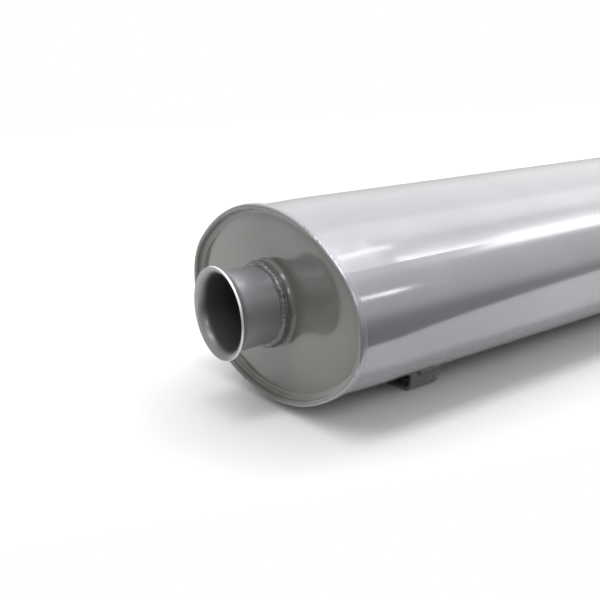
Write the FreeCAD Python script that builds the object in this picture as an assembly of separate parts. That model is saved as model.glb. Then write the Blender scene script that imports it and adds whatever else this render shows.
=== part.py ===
import FreeCAD, Part
import math
import os

from FreeCAD import Vector

# Oval exhaust muffler, lying along X with its inlet at -X. Lengths in mm, angles in degrees.
# Everything is drawn about the body's long axis and lifted at the end, so that the saddles
# stand on Z = 0.

# Body: a sheet shell whose section is an oval of four arcs
body_width = 227.2
body_height = 151.0
body_side_radius = 52.5
body_length = 609.6
shell_thickness = 1.2
neck_depth = 0.8
neck_start = 14.0
neck_length = 44.0

# End plates, each rolled over the end of the shell. The face is crowned: level in the middle
# and falling gently to the bend at the wall.
plate_thickness = 1.5
plate_recess = 5.4
plate_crown = 1.2
plate_bend = 4.0
crown_land = 2.0
hem_length = 5.5
hem_edge_radius = 0.5

# Inlet and outlet pipes with flared mouths, on the middle of the plates, and the bead rolled
# into each as a stop for the pipe that slides in
pipe_diameter = 60.3
pipe_wall = 1.5
pipe_offset_z = 1.0
stub_reach = 41.0
flare_diameter = 70.6
flare_turn = 75.0
socket_length = 45.0
stop_depth = 1.6
stop_bend = 1.5

# Collar drawn out of each end plate round its pipe
pipe_hole_clearance = 0.15
pipe_collar_bend = 3.2
pipe_collar_straight = 2.2

# Return tubes, one on each side of the pipes
return_diameter = 44.5
return_wall = 1.5
return_overhang = 9.0

# Slots in the tube walls inside the body
slot_width = 6.0
slot_length = 24.0
slot_pitch = 34.0
pipe_slot_rings = 3
pipe_slot_count = 8
return_slot_rings = 2
return_slot_count = 5

# Baffles and the cups that close the inner ends of the pipes. The land is the flat left
# between two collars.
baffle_thickness = 1.5
baffle_bend = 3.0
baffle_flange = 13.0
baffle_spacing = 150.0
collar_bend = 1.5
collar_straight = 5.0
collar_clearance = 0.15
collar_land = 2.7
cap_thickness = 1.2
cap_bend = 2.0
cap_depth = 11.0
cap_clearance = 0.1

# Saddles: straps bent into a shallow U under the body
saddle_width = 107.0
saddle_length = 30.0
saddle_thickness = 2.5
saddle_corner_radius = 9.0
saddle_gap = 4.2
saddle_setback = 100.0
bolt_slot_width = 9.0
bolt_slot_length = 16.0
bolt_slot_spacing = 60.0

# Weld beads
pipe_weld_run = 5.6
pipe_weld_lap = 1.8
pipe_weld_bulge = 3.0
saddle_weld_leg = 4.5
saddle_weld_setback = 7.0
saddle_weld_length = 23.0
seam_weld_width = 5.0
seam_weld_height = 0.8

# Derived places
half_length = body_length / 2
pipe_radius = pipe_diameter / 2
return_radius = return_diameter / 2
bore_radius = pipe_radius - pipe_wall
saddle_floor = -(body_height / 2 + saddle_gap + saddle_thickness)
neck_wall_out = -neck_depth - shell_thickness
overlap = 1.0

# The tubes stand side by side, the pipes in the middle
collar_reach = collar_clearance + baffle_thickness + collar_bend
tube_spacing = pipe_radius + return_radius + 2 * collar_reach + collar_land
pipe_centre = (0, pipe_offset_z)
left_tube_centre = (tube_spacing, pipe_offset_z)
right_tube_centre = (-tube_spacing, pipe_offset_z)

# The collar's bore, face and tip, and the edge of the plate's level middle, which holds it
plate_face = -half_length + plate_recess
pipe_collar_bore = pipe_radius + pipe_hole_clearance
pipe_collar_face = pipe_collar_bore + plate_thickness
pipe_collar_tip = plate_face - pipe_collar_bend - pipe_collar_straight
crown_edge = (pipe_collar_face + pipe_collar_bend + abs(pipe_offset_z) + crown_land
              - body_height / 2)

# The four arcs of the oval: side arcs centred at (+-side_centre, 0) and crown arcs centred
# at (0, +-crown_centre), meeting where their common normal stands at join_angle
side_centre = body_width / 2 - body_side_radius
crown_radius = (side_centre ** 2 + (body_height / 2) ** 2 - body_side_radius ** 2) / (
    body_height - 2 * body_side_radius)
crown_centre = crown_radius - body_height / 2
join_angle = math.degrees(math.atan2(crown_centre, side_centre))


def sectors():
    """Centre y, centre z, radius, start angle and sweep of each arc, going round the oval."""
    side = 2 * join_angle
    crown = 180 - side
    return [
        (side_centre, 0, body_side_radius, -join_angle, side),
        (0, -crown_centre, crown_radius, join_angle, crown),
        (-side_centre, 0, body_side_radius, 180 - join_angle, side),
        (0, crown_centre, crown_radius, 180 + join_angle, crown),
    ]


def polar(centre, radius, angle):
    """The point at an angle on a circle."""
    a = math.radians(angle)
    return (centre[0] + radius * math.cos(a), centre[1] + radius * math.sin(a))


def outline(items, place):
    """A closed face from points (u, v) and arcs (u, v, radius, from, to), joined by lines."""
    arcs = []
    for item in items:
        if len(item) == 2:
            arcs.append([item, item, None])
        else:
            centre, radius, start, end = item[:2], item[2], item[3], item[4]
            arcs.append([polar(centre, radius, a) for a in (start, end, (start + end) / 2)])
    edges = []
    for (first, last, middle), following in zip(arcs, arcs[1:] + arcs[:1]):
        if middle:
            edges.append(Part.Arc(place(*first), place(*middle), place(*last)).toShape())
        if math.dist(last, following[0]) > 1e-7:
            edges.append(Part.LineSegment(place(*last), place(*following[0])).toShape())
    return Part.Face(Part.Wire(edges))


def section(items):
    """A face in the XY plane, with x along the body and y outwards."""
    return outline(items, lambda x, y: Vector(x, y, 0))


def cross_section(items):
    """A face in the YZ plane."""
    return outline(items, lambda y, z: Vector(0, y, z))


def backwards(items):
    """The same path, walked the other way."""
    return [i if len(i) == 2 else i[:3] + (i[4], i[3]) for i in reversed(items)]


def sweep_oval(face):
    """Carry a section round the oval, its y being the distance outside the shell."""
    parts = []
    for y, z, radius, start, sweep in sectors():
        piece = face.translated(Vector(0, radius, 0))
        piece.rotate(Vector(0, 0, 0), Vector(1, 0, 0), start)
        piece.translate(Vector(0, y, z))
        parts.append(piece.revolve(Vector(0, y, z), Vector(1, 0, 0), sweep))
    return parts[0].fuse(parts[1:]).removeSplitter()


def spin(face, centre):
    """Revolve a section about a tube's centre line, its y being the radius."""
    placed = face.translated(Vector(0, *centre))
    return placed.revolve(Vector(0, *centre), Vector(1, 0, 0), 360)


def oval_block(x_from, x_to, offset):
    """A solid oval bar, its face standing a distance outside the shell."""
    edges = []
    for y, z, radius, start, sweep in sectors():
        points = [polar((y, z), radius + offset, start + sweep * s) for s in (0, 0.5, 1)]
        edges.append(Part.Arc(*[Vector(x_from, *p) for p in points]).toShape())
    return Part.Face(Part.Wire(edges)).extrude(Vector(x_to - x_from, 0, 0))


def rod(x_from, x_to, radius, centre):
    """A round bar along X."""
    return Part.makeCylinder(radius, x_to - x_from, Vector(x_from, *centre), Vector(1, 0, 0))


def oval_height(y):
    """How far below the axis the shell's face lies at a distance y from the middle."""
    if y < side_centre + body_side_radius * math.cos(math.radians(join_angle)):
        return math.sqrt(crown_radius ** 2 - y ** 2) - crown_centre
    return math.sqrt(body_side_radius ** 2 - (y - side_centre) ** 2)


def to_rear(shape):
    """The same piece at the other end of the body."""
    return shape.mirror(Vector(0, 0, 0), Vector(1, 0, 0))


def to_left(shape):
    """The same piece on the other side of the body."""
    return shape.mirror(Vector(0, 0, 0), Vector(0, 1, 0))


def shell_line(end, offset):
    """Path along the shell's face from rim to rim, necked in by two gentle arcs at each end."""
    run = neck_length / 2
    rise = neck_depth / 2
    bend = (run ** 2 + rise ** 2) / (2 * rise)
    turn = math.degrees(math.asin(run / bend))
    x_in = -half_length + neck_start
    x_out = x_in + neck_length
    front = [
        (-half_length + end, -neck_depth + offset),
        (x_in, bend - neck_depth, bend - offset, -90, -90 + turn),
        (x_out, -bend, bend + offset, 90 + turn, 90),
    ]
    rear = []
    for item in backwards(front):
        if len(item) == 2:
            rear.append((-item[0], item[1]))
        else:
            rear.append((-item[0], item[1], item[2], 180 - item[3], 180 - item[4]))
    return front + rear


def outer_shell():
    """Rolled oval sheet; its ends stop inside the rolled edges of the end plates."""
    outer = shell_line(plate_thickness, 0)
    inner = shell_line(plate_thickness, -shell_thickness)
    return sweep_oval(section(outer + backwards(inner)))


def shell_seam_weld():
    """Flat bead that closes the rolled sheet, along the underside."""
    outer = shell_line(hem_length, seam_weld_height)
    inner = shell_line(hem_length, 0)
    half = math.degrees(seam_weld_width / 2 / crown_radius)
    strip = section(outer + backwards(inner)).translated(Vector(0, crown_radius, 0))
    strip.rotate(Vector(0, 0, 0), Vector(1, 0, 0), 270 - half)
    strip.translate(Vector(0, 0, crown_centre))
    return strip.revolve(Vector(0, 0, crown_centre), Vector(1, 0, 0), 2 * half)


def end_plate():
    """Pressed plate: crowned face, bend, wall, round crest, hem, and a collar for the pipe."""
    wall_in = neck_wall_out - plate_thickness
    hem_out = -neck_depth + plate_thickness
    crest = (hem_out - wall_in) / 2
    rim = -half_length
    bend_x = plate_face + plate_crown - plate_bend
    bend_y = wall_in - plate_bend
    span = bend_y - crown_edge
    reach = (span ** 2 + plate_crown ** 2) / (2 * plate_crown)
    tilt = math.degrees(math.asin(span / reach))
    crown_x = plate_face + reach - plate_bend
    crown = reach - plate_bend
    core = crown_edge - overlap
    edge = section([
        (plate_face, core),
        (crown_x, crown_edge, crown, 180, 180 - tilt),
        (bend_x, bend_y, plate_bend, -tilt, 90),
        (rim + crest, hem_out - crest, crest, 270, 90),
        (rim + hem_length - hem_edge_radius, hem_out - hem_edge_radius, hem_edge_radius, 90, 0),
        (rim + hem_length, -neck_depth),
        (rim + plate_thickness, -neck_depth),
        (rim + plate_thickness, neck_wall_out),
        (bend_x, bend_y, plate_bend + plate_thickness, 90, -tilt),
        (crown_x, crown_edge, crown - plate_thickness, 180 - tilt, 180),
        (plate_face + plate_thickness, core),
    ])
    middle = oval_block(plate_face, plate_face + plate_thickness, crown_edge)
    lip, hole = collar(pipe_collar_bore, plate_thickness, pipe_collar_bend,
                       pipe_collar_straight, pipe_centre, -plate_face - plate_thickness)
    plate = sweep_oval(edge).fuse(middle).cut(to_rear(hole))
    return plate.fuse(to_rear(lip)).removeSplitter()


def slot(radius, x, angle, centre):
    """Round-ended cutter through one side of a tube's wall, its length along the tube."""
    half = (slot_length - slot_width) / 2
    face = section([
        (x + half, 0, slot_width / 2, -90, 90),
        (x - half, 0, slot_width / 2, 90, 270),
    ])
    cutter = face.extrude(Vector(0, 0, radius + overlap))
    cutter.rotate(Vector(0, 0, 0), Vector(1, 0, 0), angle)
    return cutter.translated(Vector(0, *centre))


def slots(radius, centre, x_middle, rings, count):
    """Rings of slots spread evenly about a place along the tube."""
    cutters = []
    for ring in range(rings):
        x = x_middle + (ring - (rings - 1) / 2) * slot_pitch
        for i in range(count):
            cutters.append(slot(radius, x, 360 / count * (i + ring % 2 / 2), centre))
    return cutters


def stop_bead(x_from, inset):
    """Path along the bead rolled into the pipe: shoulder, groove, shoulder."""
    reach = 2 * stop_bend + pipe_wall
    turn = math.degrees(math.acos(1 - stop_depth / reach))
    run = reach * math.sin(math.radians(turn))
    shoulder = stop_bend + pipe_wall
    shoulder_y = pipe_radius - shoulder
    groove_y = shoulder_y + reach - stop_depth
    return [
        (x_from, shoulder_y, shoulder - inset, 90, 90 - turn),
        (x_from + run, groove_y, stop_bend + inset, 270 - turn, 270 + turn),
        (x_from + 2 * run, shoulder_y, shoulder - inset, 90 + turn, 90),
    ]


def pipe():
    """Flared pipe from its mouth, through the plate and a baffle, up to the middle baffle."""
    mouth = -half_length - stub_reach
    inner_end = -baffle_thickness / 2
    bend = (flare_diameter - pipe_diameter) / 2 / (1 - math.cos(math.radians(flare_turn)))
    bend_x = mouth + (bend + pipe_wall) * math.sin(math.radians(flare_turn))
    bend_y = pipe_radius + bend
    bead_x = bend_x + socket_length
    wall = section([
        (inner_end, bore_radius),
        *backwards(stop_bead(bead_x, pipe_wall)),
        (bend_x, bend_y, bend + pipe_wall, -90, -90 - flare_turn),
        (bend_x, bend_y, bend, -90 - flare_turn, -90),
        *stop_bead(bead_x, 0),
        (inner_end, pipe_radius),
    ])
    cutters = slots(pipe_radius, pipe_centre, -baffle_spacing / 2, pipe_slot_rings,
                    pipe_slot_count)
    return spin(wall, pipe_centre).cut(cutters)


def return_tube(centre):
    """Tube through all three baffles, slotted in the two chambers between them."""
    end = baffle_spacing + return_overhang
    wall = rod(-end, end, return_radius, centre).cut(
        rod(-end, end, return_radius - return_wall, centre))
    cutters = []
    for side in (-1, 1):
        cutters += slots(return_radius, centre, side * baffle_spacing / 2, return_slot_rings,
                         return_slot_count)
    return wall.cut(cutters)


def bent_lip(x_face, edge, core, thickness, bend, length, side):
    """Section of a sheet that runs from core towards edge and turns along +X there.

    side is 1 where the sheet lies inside the edge and -1 where it lies outside it.
    """
    turn_x = x_face + thickness + bend
    turn_y = edge - side * (thickness + bend)
    return section([
        (x_face, core),
        (turn_x, turn_y, thickness + bend, 180, 180 - side * 90),
        (x_face + length, edge),
        (x_face + length, edge - side * thickness),
        (turn_x, turn_y, bend, 180 - side * 90, 180),
        (x_face + thickness, core),
    ])


def collar(bore, thickness, bend, straight, centre, x_face):
    """Collar drawn out of a sheet towards +X, ending in a straight part, and its hole."""
    hole_radius = bore + thickness + bend
    lip = bent_lip(x_face, bore, hole_radius + overlap, thickness, bend,
                   thickness + bend + straight, -1)
    hole = rod(x_face - overlap, x_face + thickness + overlap, hole_radius, centre)
    return spin(lip, centre), hole


def baffle(x_middle, tubes):
    """Pressed partition with a flange against the shell and a collar for each tube."""
    x_face = x_middle - baffle_thickness / 2
    core = -shell_thickness - baffle_thickness - baffle_bend
    flange = bent_lip(x_face, -shell_thickness, core - overlap, baffle_thickness, baffle_bend,
                      baffle_flange, 1)
    plate = oval_block(x_face, x_face + baffle_thickness, core).fuse(sweep_oval(flange))
    collars = [collar(radius + collar_clearance, baffle_thickness, collar_bend,
                      collar_straight, centre, x_face) for radius, centre in tubes]
    plate = plate.cut([hole for lip, hole in collars])
    return plate.fuse([lip for lip, hole in collars]).removeSplitter()


def end_cap():
    """Pressed cup, open end flush with the pipe's inner end."""
    inner_end = -baffle_thickness / 2
    cup = bent_lip(inner_end - cap_depth, bore_radius - cap_clearance, 0, cap_thickness,
                   cap_bend, cap_depth, 1)
    return spin(cup, pipe_centre)


def pipe_weld():
    """Round bead over the tip of the plate's collar and down onto the pipe."""
    toe = (pipe_collar_tip - pipe_weld_run, pipe_radius)
    heel = (pipe_collar_tip + pipe_weld_lap, pipe_collar_face)
    half = math.dist(toe, heel) / 2
    radius = (half ** 2 + pipe_weld_bulge ** 2) / (2 * pipe_weld_bulge)
    lean = math.degrees(math.atan2(heel[1] - toe[1], heel[0] - toe[0]))
    opening = 2 * math.degrees(math.atan(pipe_weld_bulge / half))
    middle = ((toe[0] + heel[0]) / 2, (toe[1] + heel[1]) / 2)
    centre = polar(middle, radius - pipe_weld_bulge, lean - 90)
    bead = section([
        (*centre, radius, lean + 90 + opening, lean + 90 - opening),
        (pipe_collar_tip, pipe_collar_face),
        (pipe_collar_tip, pipe_radius),
    ])
    return spin(bead, pipe_centre)


def saddle():
    """Strap bent into a U, its two ends shaped to the shell, with two bolt slots."""
    half = saddle_width / 2
    corner_y = half - saddle_corner_radius
    corner_z = saddle_floor + saddle_corner_radius
    inner_radius = saddle_corner_radius - saddle_thickness
    x_from = -half_length + saddle_setback
    strap = cross_section([
        (-half, 0),
        (-corner_y, corner_z, saddle_corner_radius, 180, 270),
        (corner_y, corner_z, saddle_corner_radius, 270, 360),
        (half, 0),
        (half - saddle_thickness, 0),
        (corner_y, corner_z, inner_radius, 360, 270),
        (-corner_y, corner_z, inner_radius, 270, 180),
        (-half + saddle_thickness, 0),
    ])
    body = strap.extrude(Vector(saddle_length, 0, 0)).translated(Vector(x_from, 0, 0))
    body = body.cut(oval_block(x_from - overlap, x_from + saddle_length + overlap, 0))
    return body.cut([bolt_slot(x_from + saddle_length / 2, side) for side in (-1, 1)])


def bolt_slot(x, side):
    """Round-ended cutter through the saddle's floor, its length across the body."""
    half = (bolt_slot_length - bolt_slot_width) / 2
    face = section([
        (0, half, bolt_slot_width / 2, 0, 180),
        (0, -half, bolt_slot_width / 2, 180, 360),
    ])
    cutter = face.extrude(Vector(0, 0, saddle_thickness + 2 * overlap))
    return cutter.translated(Vector(x, side * bolt_slot_spacing / 2, saddle_floor - overlap))


def saddle_weld():
    """Stitch bead between the shell and the outside of the strap's right-hand end."""
    x_from = -half_length + saddle_setback + saddle_weld_setback
    edge = -saddle_width / 2
    bead = rod(x_from, x_from + saddle_weld_length, saddle_weld_leg,
               (edge, -oval_height(saddle_width / 2)))
    span = 4 * saddle_weld_leg
    strap_side = Part.makeBox(saddle_weld_length, span, 2 * span,
                              Vector(x_from, edge, -oval_height(saddle_width / 2) - span))
    shell = oval_block(x_from - overlap, x_from + saddle_weld_length + overlap, 0)
    return bead.cut([strap_side, shell])


all_tubes = [
    (pipe_radius, pipe_centre),
    (return_radius, left_tube_centre),
    (return_radius, right_tube_centre),
]

pieces = {
    "outer_shell": outer_shell(),
    "shell_seam_weld": shell_seam_weld(),
    "front_end_plate": end_plate(),
    "rear_end_plate": to_rear(end_plate()),
    "inlet_pipe": pipe(),
    "outlet_pipe": to_rear(pipe()),
    "front_pipe_weld": pipe_weld(),
    "rear_pipe_weld": to_rear(pipe_weld()),
    "front_baffle": baffle(-baffle_spacing, all_tubes),
    "middle_baffle": baffle(0, all_tubes[1:]),
    "rear_baffle": to_rear(baffle(-baffle_spacing, all_tubes)),
    "left_return_tube": return_tube(left_tube_centre),
    "right_return_tube": return_tube(right_tube_centre),
    "inlet_end_cap": end_cap(),
    "outlet_end_cap": to_rear(end_cap()),
    "front_saddle": saddle(),
    "rear_saddle": to_rear(saddle()),
    "front_saddle_right_weld": saddle_weld(),
    "front_saddle_left_weld": to_left(saddle_weld()),
    "rear_saddle_right_weld": to_rear(saddle_weld()),
    "rear_saddle_left_weld": to_rear(to_left(saddle_weld())),
}

os.makedirs("parts", exist_ok=True)
for name, shape in pieces.items():
    lifted = shape.translated(Vector(0, 0, -saddle_floor))
    lifted.exportStep(os.path.join("parts", name + ".step"))
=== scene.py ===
import math

import bpy
from mathutils import Matrix, Vector, noise


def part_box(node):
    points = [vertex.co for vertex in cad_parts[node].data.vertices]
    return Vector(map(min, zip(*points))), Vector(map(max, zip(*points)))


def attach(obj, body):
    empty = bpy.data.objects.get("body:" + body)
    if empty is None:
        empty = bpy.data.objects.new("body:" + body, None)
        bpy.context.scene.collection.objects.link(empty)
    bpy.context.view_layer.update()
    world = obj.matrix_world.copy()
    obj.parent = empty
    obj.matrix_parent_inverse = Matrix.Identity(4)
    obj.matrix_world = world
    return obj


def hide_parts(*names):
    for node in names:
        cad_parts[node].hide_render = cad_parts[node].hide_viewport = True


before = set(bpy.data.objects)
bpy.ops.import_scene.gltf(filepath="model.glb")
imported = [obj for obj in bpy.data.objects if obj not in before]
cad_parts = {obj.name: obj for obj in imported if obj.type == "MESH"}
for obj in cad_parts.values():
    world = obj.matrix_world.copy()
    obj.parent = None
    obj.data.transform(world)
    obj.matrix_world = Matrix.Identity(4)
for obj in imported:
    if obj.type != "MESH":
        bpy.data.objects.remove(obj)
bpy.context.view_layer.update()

# Oval exhaust muffler on its two saddles, seen from its inlet end. Lengths in metres, angles
# in degrees, in the CAD model's frame: X along the body, inlet at -X, saddles on Z = 0.

# Camera, worked out from the rim, the mouth and the body's outlines in the photograph
camera_place = (-0.6001, -0.4741, 0.2333)
camera_yaw = 34.69
camera_pitch = 14.91
camera_roll = -2.6
camera_lens = 45.85

# Places read from the CAD model
mouth_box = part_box("inlet_pipe")
shell_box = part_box("outer_shell")
pipe_weld_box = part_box("front_pipe_weld")
saddle_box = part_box("front_saddle")
saddle_weld_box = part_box("front_saddle_right_weld")
pipe_y = (mouth_box[0].y + mouth_box[1].y) / 2
pipe_z = (mouth_box[0].z + mouth_box[1].z) / 2
body_z = (shell_box[0].z + shell_box[1].z) / 2
body_half_width = shell_box[1].y
body_half_height = body_z - shell_box[0].z
saddle_half_width = saddle_box[1].y
lip_radius = (mouth_box[1].y - mouth_box[0].y) / 2

# Section of the body, and the collar of the end plate that the pipe's weld closes
side_radius = 0.0525
pipe_radius = 0.03015
collar_face = 0.0318
collar_lap = 0.0018
saddle_weld_leg = 0.0045

# Where the painted shade down the bore starts and where it is full, and the band of the lip's end
# face given a painted highlight
bore_shade_start = 0.001
bore_shade_depth = 0.005
lip_highlight_outer = 0.0004
lip_highlight_inner = 0.0008

# The hem lies outside this share of the body's half sizes, and its paint is rougher by this
hem_from_share = 0.9
hem_extra_roughness = 0.12
hem_colour = (0.396, 0.399, 0.423, 1)
plate_metallic = 0.05
shell_metallic = 0.42

# Hand-laid weld beads: long lumps, with the scales of each pass across them
ripple_pitch = 0.0042
ripple_height = 0.00016
lump_height = 0.0009
lump_waves = 75
small_lump_waves = 210
small_lump_share = 0.35
valley_depth = 0.0005
valley_place = 0.58
valley_width = 0.10
bead_sink = 0.0004
bead_profile_steps = 18
pipe_bead_steps = 520
pipe_bead_height = 0.0031
pipe_bead_wander = 0.0011
saddle_bead_steps = 70
saddle_bead_bulge = 0.42
saddle_bead_end_leg = 0.35

# Studio: a white sheet under the body that ends in front of it, and a pale room. The sheet glows
# far away, and mirrors see the white backdrop where a direction's Y is above backdrop_y.
sheet_edge_y = -0.275
sheet_edge_turn = -20.8
sheet_reach = 8.0
glow_start = 0.5
glow_full = 2.0
glow_level = 0.5
inlet_side_level = 0.42
backdrop_y = 0.97
room_level = 0.8
brightest_level = 2.2


# Shader building

def new_material(name):
    """An empty node material with its output and a Principled shader."""
    material = bpy.data.materials.new(name)
    material.use_nodes = True
    tree = material.node_tree
    tree.nodes.clear()
    output = tree.nodes.new("ShaderNodeOutputMaterial")
    shader = tree.nodes.new("ShaderNodeBsdfPrincipled")
    tree.links.new(shader.outputs["BSDF"], output.inputs["Surface"])
    return material, tree, shader


def add(tree, kind, inputs=None, **settings):
    """A node with its settings made and its inputs set or linked."""
    node = tree.nodes.new(kind)
    for name, value in settings.items():
        setattr(node, name, value)
    for name, value in (inputs or {}).items():
        if isinstance(value, bpy.types.NodeSocket):
            tree.links.new(value, node.inputs[name])
        else:
            node.inputs[name].default_value = value
    return node


def object_place(tree, stretch=(1, 1, 1)):
    """The point on the surface in the CAD frame, stretched by an amount along each axis."""
    place = add(tree, "ShaderNodeTexCoord").outputs["Object"]
    return add(tree, "ShaderNodeMapping", {"Vector": place, "Scale": stretch}).outputs["Vector"]


def noise_value(tree, place, scale, detail):
    """Soft noise, its scale in waves per metre."""
    node = add(tree, "ShaderNodeTexNoise",
               {"Vector": place, "Scale": scale, "Detail": detail, "Roughness": 0.5})
    return node.outputs["Fac"]


def ramp(tree, value, stops):
    """A colour ramp of (place, colour) stops."""
    node = add(tree, "ShaderNodeValToRGB", {"Fac": value})
    elements = node.color_ramp.elements
    while len(elements) > 1:
        elements.remove(elements[-1])
    elements[0].position = stops[0][0]
    elements[0].color = (*stops[0][1], 1)
    for place, colour in stops[1:]:
        elements.new(place).color = (*colour, 1)
    return node.outputs["Color"]


def spread(tree, value, low, high):
    """Noise between 0.3 and 0.7 carried to a low and a high value."""
    node = add(tree, "ShaderNodeMapRange",
               {"Value": value, "From Min": 0.3, "From Max": 0.7, "To Min": low, "To Max": high})
    return node.outputs["Result"]


def bump(tree, height, distance, normal=None):
    """Surface relief of a height in metres."""
    inputs = {"Height": height, "Distance": distance, "Strength": 1.0}
    if normal:
        inputs["Normal"] = normal
    return add(tree, "ShaderNodeBump", inputs).outputs["Normal"]


def paint(name, dark, light, metallic, roughness, coat, peel, wave, wave_stretch=(1, 1, 1)):
    """Sprayed paint: cloudy colour, a roughness that varies, orange peel and a wavy sheet."""
    material, tree, shader = new_material(name)
    place = object_place(tree)
    cloud = noise_value(tree, place, 14.0, 3.0)
    colour = ramp(tree, cloud, [(0.3, dark), (0.7, light)])
    tree.links.new(colour, shader.inputs["Base Color"])
    grain = noise_value(tree, place, 60.0, 3.0)
    tree.links.new(spread(tree, grain, *roughness), shader.inputs["Roughness"])
    waves = noise_value(tree, object_place(tree, wave_stretch), 9.0, 1.0)
    relief = bump(tree, waves, wave)
    relief = bump(tree, noise_value(tree, place, 420.0, 1.0), peel, normal=relief)
    tree.links.new(relief, shader.inputs["Normal"])
    tree.links.new(relief, shader.inputs["Coat Normal"])
    shader.inputs["Metallic"].default_value = metallic
    shader.inputs["IOR"].default_value = 1.5
    shader.inputs["Coat Weight"].default_value = coat
    shader.inputs["Coat Roughness"].default_value = 0.04
    return material, tree, shader


def shell_paint():
    """Silver metallic gloss on the rolled shell, wavy along its length."""
    return paint("shell_silver_gloss", (0.375, 0.378, 0.400), (0.419, 0.421, 0.446),
                 metallic=shell_metallic, roughness=(0.13, 0.18), coat=0.5, peel=0.0000025,
                 wave=0.0006, wave_stretch=(0.35, 1, 1))[0]


def plate_paint():
    """Warm grey gloss on the end plates, darker than the body's silver: painted shade on the end
    face, which faces away from the light. The hem outside the shell was sprayed with the body.
    """
    material, tree, shader = paint(
        "end_plate_grey_with_painted_shade", (0.163, 0.164, 0.151), (0.194, 0.195, 0.181), metallic=plate_metallic,
        roughness=(0.14, 0.20), coat=0.35, peel=0.000003, wave=0.0003)
    coordinates = add(tree, "ShaderNodeTexCoord")
    level = add(tree, "ShaderNodeVectorMath",
                {0: coordinates.outputs["Object"], 1: (0, 0, body_z)}, operation="SUBTRACT")
    shape = (0, 1 / body_half_width ** 2, 1 / body_half_height ** 2)
    outward = add(tree, "ShaderNodeVectorMath", {0: level.outputs[0], 1: shape},
                  operation="MULTIPLY")
    outward = add(tree, "ShaderNodeVectorMath", {0: outward.outputs[0]}, operation="NORMALIZE")
    facing = add(tree, "ShaderNodeVectorMath",
                 {0: outward.outputs[0], 1: coordinates.outputs["Normal"]},
                 operation="DOT_PRODUCT")
    turned = add(tree, "ShaderNodeMapRange",
                 {"Value": facing.outputs["Value"], "From Min": 0.1, "From Max": 0.6})
    share = add(tree, "ShaderNodeVectorMath",
                {0: level.outputs[0], 1: (0, 1 / body_half_width, 1 / body_half_height)},
                operation="MULTIPLY")
    distance = add(tree, "ShaderNodeVectorMath", {0: share.outputs[0]}, operation="LENGTH")
    outside = add(tree, "ShaderNodeMath", {0: distance.outputs["Value"], 1: hem_from_share},
                  operation="GREATER_THAN")
    hem = add(tree, "ShaderNodeMath", {0: turned.outputs[0], 1: outside.outputs[0]},
              operation="MULTIPLY")
    painted = shader.inputs["Base Color"].links[0].from_socket
    mix = add(tree, "ShaderNodeMix", data_type="RGBA")
    tree.links.new(hem.outputs[0], mix.inputs[0])
    tree.links.new(painted, mix.inputs[6])
    mix.inputs[7].default_value = hem_colour
    tree.links.new(mix.outputs[2], shader.inputs["Base Color"])
    metal = add(tree, "ShaderNodeMapRange",
                {"Value": hem.outputs[0], "To Min": plate_metallic, "To Max": shell_metallic})
    tree.links.new(metal.outputs[0], shader.inputs["Metallic"])
    sprayed = shader.inputs["Roughness"].links[0].from_socket
    dulled = add(tree, "ShaderNodeMath", {0: hem.outputs[0], 1: hem_extra_roughness, 2: sprayed},
                 operation="MULTIPLY_ADD")
    tree.links.new(dulled.outputs[0], shader.inputs["Roughness"])
    return material


def pipe_paint():
    """Silver-grey paint on the pipes, with a painted highlight on the lip's end face and painted
    shade darkening the bore.
    """
    material, tree, shader = paint(
        "pipe_grey_satin_with_painted_light", (0.328, 0.329, 0.349), (0.365, 0.367, 0.389), metallic=0.7,
        roughness=(0.42, 0.50), coat=0.3, peel=0.000003, wave=0.0001)
    coordinates = add(tree, "ShaderNodeTexCoord")
    axes = add(tree, "ShaderNodeSeparateXYZ", {"Vector": coordinates.outputs["Object"]})
    along = add(tree, "ShaderNodeMath", {0: axes.outputs["X"]}, operation="ABSOLUTE")
    # Painted shade: the colour inside the bore darkens with depth from the mouth.
    depth = add(tree, "ShaderNodeMapRange",
                {"Value": along.outputs[0], "From Min": -mouth_box[0].x - bore_shade_depth,
                 "From Max": -mouth_box[0].x - bore_shade_start, "To Min": 1.0, "To Max": 0.0})
    radial = add(tree, "ShaderNodeVectorMath",
                 {0: coordinates.outputs["Object"], 1: (0, pipe_y, pipe_z)}, operation="SUBTRACT")
    radial = add(tree, "ShaderNodeVectorMath", {0: radial.outputs[0], 1: (0, 1, 1)},
                 operation="MULTIPLY")
    facing = add(tree, "ShaderNodeVectorMath",
                 {0: radial.outputs[0], 1: coordinates.outputs["Normal"]},
                 operation="DOT_PRODUCT")
    inside = add(tree, "ShaderNodeMath", {0: facing.outputs["Value"], 1: 0.0},
                 operation="LESS_THAN")
    bore_shade = add(tree, "ShaderNodeMath", {0: depth.outputs[0], 1: inside.outputs[0]},
               operation="MULTIPLY")
    painted = shader.inputs["Base Color"].links[0].from_socket
    mix = add(tree, "ShaderNodeMix", data_type="RGBA")
    tree.links.new(bore_shade.outputs[0], mix.inputs[0])
    tree.links.new(painted, mix.inputs[6])
    mix.inputs[7].default_value = (0.150, 0.154, 0.152, 1)
    distance = add(tree, "ShaderNodeVectorMath", {0: radial.outputs[0]}, operation="LENGTH")
    # Painted highlight: a near-white band on the outer edge of the lip's end face.
    end_face = add(tree, "ShaderNodeMapRange",
                   {"Value": distance.outputs["Value"],
                    "From Min": lip_radius - lip_highlight_inner,
                    "From Max": lip_radius - lip_highlight_outer})
    outside = add(tree, "ShaderNodeMath", {0: 1.0, 1: inside.outputs[0]}, operation="SUBTRACT")
    painted_lip_highlight = add(tree, "ShaderNodeMath", {0: end_face.outputs[0], 1: outside.outputs[0]},
               operation="MULTIPLY")
    lip = add(tree, "ShaderNodeMix", data_type="RGBA")
    tree.links.new(painted_lip_highlight.outputs[0], lip.inputs[0])
    tree.links.new(mix.outputs[2], lip.inputs[6])
    lip.inputs[7].default_value = (0.85, 0.85, 0.84, 1)
    tree.links.new(lip.outputs[2], shader.inputs["Base Color"])
    return material


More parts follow.
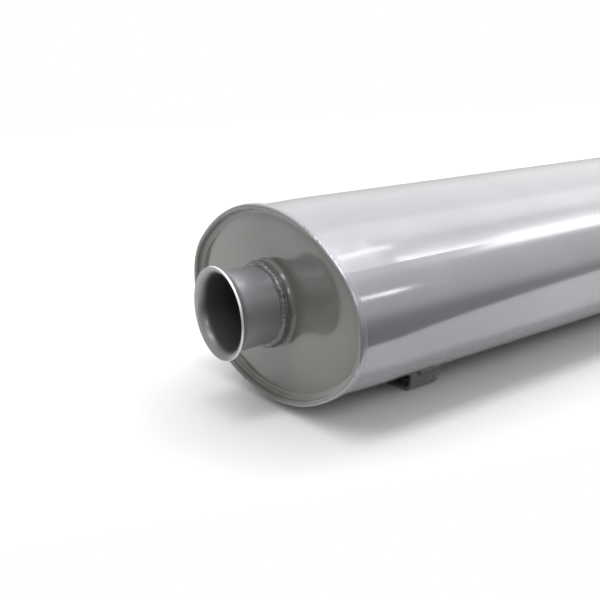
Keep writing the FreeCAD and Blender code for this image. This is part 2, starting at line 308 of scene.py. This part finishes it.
def weld_paint():
    """Paint over a lumpy bead, darker than the pipe's: painted shade where the beads lie in corners.
    """
    return paint(
        "weld_grey_with_painted_shade", (0.150, 0.151, 0.158), (0.185, 0.186, 0.195), metallic=0.4,
        roughness=(0.24, 0.36), coat=0.25, peel=0.00002, wave=0.0004)[0]


def saddle_paint():
    """Grey paint on the strap saddles, darker than the shell's silver: painted shade under the body.
    """
    return paint("saddle_grey_with_painted_shade", (0.150, 0.151, 0.152), (0.206, 0.209, 0.210),
                 metallic=0.1, roughness=(0.25, 0.40), coat=0.2, peel=0.000006, wave=0.0002)[0]


def inner_steel():
    """Aluminised steel of the baffles and tubes inside."""
    material, tree, shader = new_material("inner_aluminised_steel")
    place = object_place(tree)
    cloud = noise_value(tree, place, 30.0, 4.0)
    colour = ramp(tree, cloud, [(0.3, (0.42, 0.42, 0.42)), (0.7, (0.58, 0.58, 0.59))])
    tree.links.new(colour, shader.inputs["Base Color"])
    grain = noise_value(tree, object_place(tree, (0.1, 1, 1)), 900.0, 2.0)
    tree.links.new(spread(tree, grain, 0.28, 0.42), shader.inputs["Roughness"])
    tree.links.new(bump(tree, grain, 0.000005), shader.inputs["Normal"])
    shader.inputs["Metallic"].default_value = 0.9
    return material


# Weld beads

def bead_piece(name, rings, closed, material, slot_name, *nodes):
    """A solid bead skinned over rings of points, riding on the body in place of CAD nodes."""
    count = len(rings[0])
    points = [p for ring in rings for p in ring]
    faces = []
    spans = len(rings) if closed else len(rings) - 1
    for i in range(spans):
        near, far = i * count, (i + 1) % len(rings) * count
        for j in range(count):
            k = (j + 1) % count
            faces.append((near + j, near + k, far + k, far + j))
    if not closed:
        faces.append(tuple(reversed(range(count))))
        faces.append(tuple(range(len(points) - count, len(points))))
    mesh = bpy.data.meshes.new(name)
    mesh.from_pydata([tuple(p) for p in points], [], faces)
    mesh.update()
    for polygon in mesh.polygons:
        polygon.use_smooth = True
    piece = bpy.data.objects.new(name, mesh)
    bpy.context.scene.collection.objects.link(piece)
    mesh.materials.append(material)
    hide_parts(*nodes)
    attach(piece, "root")
    return piece


def lumps(place, seed):
    """Uneven height of a hand-laid bead at a point."""
    small = small_lump_share * noise.noise(place * small_lump_waves + seed)
    return (noise.noise(place * lump_waves + seed) + small) * lump_height


def ripple(distance, bow):
    """Height of the bead's scales at a distance along it; bow bends each scale's front."""
    phase = (distance / ripple_pitch + bow) % 1.0
    return ripple_height * (phase ** 0.7 * 2 - 1)


def bead_ring(toe, heel, bulge, distance, seed):
    """One slice of a bead that bulges between two points, its feet sunk out of sight."""
    across = heel - toe
    middle = (toe + heel) / 2
    rise = bulge.normalized()
    half = across.length / 2
    height = bulge.length
    radius = (half ** 2 + height ** 2) / (2 * height)
    opening = 2 * math.atan(height / half)
    centre = middle - rise * (radius - height)
    side = across.normalized()
    ring = [toe - rise * bead_sink * 2]
    for i in range(bead_profile_steps + 1):
        share = i / bead_profile_steps
        turn = opening * (2 * share - 1)
        push = rise * math.cos(turn) + side * math.sin(turn)
        place = centre + push * radius
        swell = math.sin(math.pi * share) ** 0.5
        valley = -valley_depth * math.exp(-((share - valley_place) / valley_width) ** 2)
        bow = 1.6 * (share - 0.5) ** 2
        lift = (lumps(place, seed) + ripple(distance, bow) + valley) * swell
        ring.append(place + push * lift)
    ring.append(heel - rise * bead_sink * 2)
    return ring


def pipe_weld(end, name, material):
    """Bead over the tip of the collar and down onto the pipe; end is -1 at the inlet."""
    rings = []
    seed = Vector((end * 3.1, 1.7, 0.4))
    toe_x = -pipe_weld_box[0].x
    tip_x = -pipe_weld_box[1].x + collar_lap
    centre = Vector((0, pipe_y, pipe_z))
    for i in range(pipe_bead_steps):
        angle = 2 * math.pi * i / pipe_bead_steps
        out = Vector((0, math.cos(angle), math.sin(angle)))
        around = Vector((math.cos(angle), math.sin(angle), end))
        wander = noise.noise(around * 3.0) * pipe_bead_wander
        toe = centre + Vector((end * (toe_x + wander), 0, 0)) + out * (pipe_radius - bead_sink)
        heel = centre + Vector((end * (tip_x - collar_lap), 0, 0)) + out * (collar_face - bead_sink)
        across = heel - toe
        rise = (out - across * out.dot(across) / across.length_squared).normalized()
        rings.append(bead_ring(toe, heel, rise * pipe_bead_height, angle * pipe_radius, seed))
    return bead_piece(name + "_bead", rings, True, material, "weld_paint", name)


def under_shell(y):
    """Height of the shell's underside at a distance y from the middle, and its slope there."""
    side_centre = body_half_width - side_radius
    crown = (side_centre ** 2 + body_half_height ** 2 - side_radius ** 2) / (
        2 * (body_half_height - side_radius))
    drop = math.sqrt(crown ** 2 - y ** 2)
    return body_z - drop + crown - body_half_height, math.asin(y / crown)


def saddle_weld(end, side, name, material):
    """Stitch bead in the corner between the shell and the outside of a strap's end."""
    rings = []
    seed = Vector((end * 1.3, side * 2.7, 5.1))
    level, slope = under_shell(saddle_half_width)
    x_from, x_to = -saddle_weld_box[1].x, -saddle_weld_box[0].x
    corner = Vector((0, side * saddle_half_width, level))
    down = Vector((0, 0, -1))
    along_shell = Vector((0, side * math.cos(slope), math.sin(slope)))
    out = (down + along_shell).normalized()
    for i in range(saddle_bead_steps + 1):
        share = i / saddle_bead_steps
        x = x_from + (x_to - x_from) * share
        end_round = max(0.0, 1 - (2 * share - 1) ** 8) ** 0.5
        leg = saddle_weld_leg * (saddle_bead_end_leg + (1 - saddle_bead_end_leg) * end_round)
        root = corner + Vector((end * x, 0, 0)) - out * bead_sink
        toe, heel = root + down * leg, root + along_shell * leg
        bulge = out * leg * saddle_bead_bulge
        rings.append(bead_ring(toe, heel, bulge, x, seed))
    return bead_piece(name + "_bead", rings, False, material, "weld_paint", name)


# Stage, light and camera

def sheet():
    """White sheet on the floor, its front edge just in front of the body."""
    mesh = bpy.data.meshes.new("white_sheet")
    half = sheet_reach
    corners = [(-half, 0, 0), (half, 0, 0), (half, half, 0), (-half, half, 0)]
    mesh.from_pydata(corners, [], [(0, 1, 2, 3)])
    piece = bpy.data.objects.new("white_sheet", mesh)
    piece.location = (0, sheet_edge_y, 0)
    piece.rotation_euler = (0, 0, math.radians(sheet_edge_turn))
    bpy.context.scene.collection.objects.link(piece)
    material, tree, shader = new_material("white_sheet")
    shader.inputs["Roughness"].default_value = 0.9
    shader.inputs["Specular IOR Level"].default_value = 0.1
    shader.inputs["Emission Color"].default_value = (1, 1, 1, 1)
    distance = add(tree, "ShaderNodeVectorMath", {0: object_place(tree)}, operation="LENGTH")
    far = add(tree, "ShaderNodeMapRange",
              {"Value": distance.outputs["Value"], "From Min": glow_start,
               "From Max": glow_full, "To Max": glow_level})
    path = add(tree, "ShaderNodeLightPath")
    axes = add(tree, "ShaderNodeSeparateXYZ", {"Vector": object_place(tree)})
    # Painted shade: the sheet's colour is a little darker near the inlet end, standing in for shade
    # seen mirrored in the body's lower side and the end plate.
    share = add(tree, "ShaderNodeMapRange",
                {"Value": axes.outputs["X"], "From Min": -0.6, "From Max": 0.4})
    white = ramp(tree, share.outputs[0], [(0.1, (0.90,) * 3), (0.3, (0.87,) * 3),
                                          (0.4, (0.87,) * 3), (0.85, (0.92,) * 3)])
    tree.links.new(white, shader.inputs["Base Color"])
    seen = add(tree, "ShaderNodeMath", {0: path.outputs["Is Camera Ray"],
                                        1: path.outputs["Is Glossy Ray"]}, operation="ADD")
    seen = add(tree, "ShaderNodeMath", {0: seen.outputs[0],
                                        1: path.outputs["Is Transmission Ray"]},
               operation="ADD")
    glow = add(tree, "ShaderNodeMath", {0: far.outputs[0], 1: seen.outputs[0]},
               operation="MULTIPLY")
    tree.links.new(glow.outputs[0], shader.inputs["Emission Strength"])
    mesh.materials.append(material)


def room():
    """Room that is dim in front and bright overhead, but white to the camera and, straight
    behind the object, to mirrors."""
    world = bpy.data.worlds.new("room")
    bpy.context.scene.world = world
    world.use_nodes = True
    tree = world.node_tree
    tree.nodes.clear()
    output = tree.nodes.new("ShaderNodeOutputWorld")
    direction = add(tree, "ShaderNodeTexCoord").outputs["Generated"]
    axes = add(tree, "ShaderNodeSeparateXYZ", {"Vector": direction})
    front = add(tree, "ShaderNodeMath", {0: axes.outputs["Y"], 1: -1.0}, operation="MULTIPLY")
    turn = add(tree, "ShaderNodeMath", {0: axes.outputs["Z"], 1: front.outputs[0]},
               operation="ARCTAN2")
    share = add(tree, "ShaderNodeMapRange",
                {"Value": turn.outputs[0], "From Min": -math.pi, "From Max": math.pi})
    levels = [(-180, 0.7), (-150, 0.5), (-30, 0.08), (-10, 0.08), (-2, 0.22), (6, 0.6),
              (14, 0.8), (45, 0.9), (62, 1.0), (70, 1.4), (92, 1.7), (96, 1.45), (102, 2.2),
              (114, 2.2), (120, 1.65), (130, 1.6), (150, 1.45), (163, 1.1), (172, 0.85),
              (180, 0.7)]
    stops = [((a + 180) / 360, (v / brightest_level,) * 3) for a, v in levels]
    light = ramp(tree, share.outputs[0], stops)
    side = add(tree, "ShaderNodeMapRange",
               {"Value": axes.outputs["X"], "From Min": -0.3, "From Max": 0.3,
                "To Min": brightest_level * room_level * inlet_side_level,
                "To Max": brightest_level * room_level})
    lit = add(tree, "ShaderNodeBackground", {"Color": light, "Strength": side.outputs[0]})
    white = add(tree, "ShaderNodeBackground", {"Color": (1, 1, 1, 1), "Strength": 1.0})
    path = add(tree, "ShaderNodeLightPath")
    mirrored = add(tree, "ShaderNodeMath", {0: path.outputs["Is Glossy Ray"],
                                            1: path.outputs["Is Transmission Ray"]},
                   operation="ADD")
    behind = add(tree, "ShaderNodeMath", {0: front.outputs[0], 1: -backdrop_y},
                 operation="LESS_THAN")
    backdrop = add(tree, "ShaderNodeMath", {0: mirrored.outputs[0], 1: behind.outputs[0]},
                   operation="MULTIPLY")
    seen = add(tree, "ShaderNodeMath", {0: path.outputs["Is Camera Ray"],
                                        1: backdrop.outputs[0]}, operation="ADD")
    mix = add(tree, "ShaderNodeMixShader", {0: seen.outputs[0]})
    tree.links.new(lit.outputs[0], mix.inputs[1])
    tree.links.new(white.outputs[0], mix.inputs[2])
    tree.links.new(mix.outputs[0], output.inputs["Surface"])


def soft_box(name, place, size, radiance, turn=0.0, aim=None):
    """A rectangular lamp of a given radiance, turned and facing down, or facing a point."""
    lamp = bpy.data.lights.new(name, "AREA")
    lamp.shape = "RECTANGLE"
    lamp.size, lamp.size_y = size
    lamp.energy = radiance * math.pi * size[0] * size[1]
    holder = bpy.data.objects.new(name, lamp)
    holder.location = place
    holder.rotation_euler = (0, 0, math.radians(turn))
    if aim:
        holder.rotation_euler = (Vector(aim) - Vector(place)).to_track_quat("-Z", "X").to_euler()
    holder.visible_camera = False
    bpy.context.scene.collection.objects.link(holder)


def camera():
    """The photograph's view."""
    yaw, pitch, roll = (math.radians(a) for a in (camera_yaw, camera_pitch, camera_roll))
    ahead = Vector((math.sin(yaw), math.cos(yaw), 0))
    right = Vector((math.cos(yaw), -math.sin(yaw), 0))
    up = Vector((0, 0, 1))
    look = ahead * math.cos(pitch) - up * math.sin(pitch)
    top = ahead * math.sin(pitch) + up * math.cos(pitch)
    local_x = right * math.cos(roll) + top * math.sin(roll)
    local_y = top * math.cos(roll) - right * math.sin(roll)
    data = bpy.data.cameras.new("camera")
    data.lens = camera_lens
    data.clip_start = 0.01
    holder = bpy.data.objects.new("camera", data)
    axes = Matrix((local_x, local_y, -look)).transposed()
    holder.matrix_world = Matrix.Translation(camera_place) @ axes.to_4x4()
    bpy.context.scene.collection.objects.link(holder)
    bpy.context.scene.camera = holder


materials = {
    "shell": shell_paint(),
    "plate": plate_paint(),
    "pipe": pipe_paint(),
    "weld": weld_paint(),
    "saddle": saddle_paint(),
    "steel": inner_steel(),
}

node_finish = {
    "outer_shell": "shell",
    "shell_seam_weld": "shell",
    "front_end_plate": "plate",
    "rear_end_plate": "plate",
    "inlet_pipe": "pipe",
    "outlet_pipe": "pipe",
    "front_saddle": "saddle",
    "rear_saddle": "saddle",
}
for name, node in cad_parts.items():
    default = "weld" if name.endswith("weld") else "steel"
    node.data.materials.clear()
    node.data.materials.append(materials[node_finish.get(name, default)])

pipe_weld(-1, "front_pipe_weld", materials["weld"])
pipe_weld(1, "rear_pipe_weld", materials["weld"])
for end, place in ((-1, "front"), (1, "rear")):
    saddle_weld(end, -1, place + "_saddle_right_weld", materials["weld"])
    saddle_weld(end, 1, place + "_saddle_left_weld", materials["weld"])

sheet()
room()
soft_box("far_box", (1.82, -0.37, 1.5), (0.86, 0.44), 2.8)
soft_box("far_tail", (1.13, -0.22, 1.5), (0.50, 0.08), 3.2)
soft_box("near_box", (0.54, -0.09, 1.5), (0.32, 0.50), 3.6)
soft_box("near_tail", (0.78, -0.01, 1.5), (0.22, 0.08), 2.4)
soft_box("small_box", (1.03, -1.52, 1.1), (0.32, 0.18), 4.4, turn=-36.0)
soft_box("top_box", (-0.95, -0.32, 1.5), (1.5, 0.42), 6.0)
soft_box("front_box", (-0.96, -1.41, 1.10), (0.45, 1.0), 4.8, aim=(-0.2, -0.06, 0.0))
camera()
bpy.context.scene.view_settings.view_transform = "Standard"
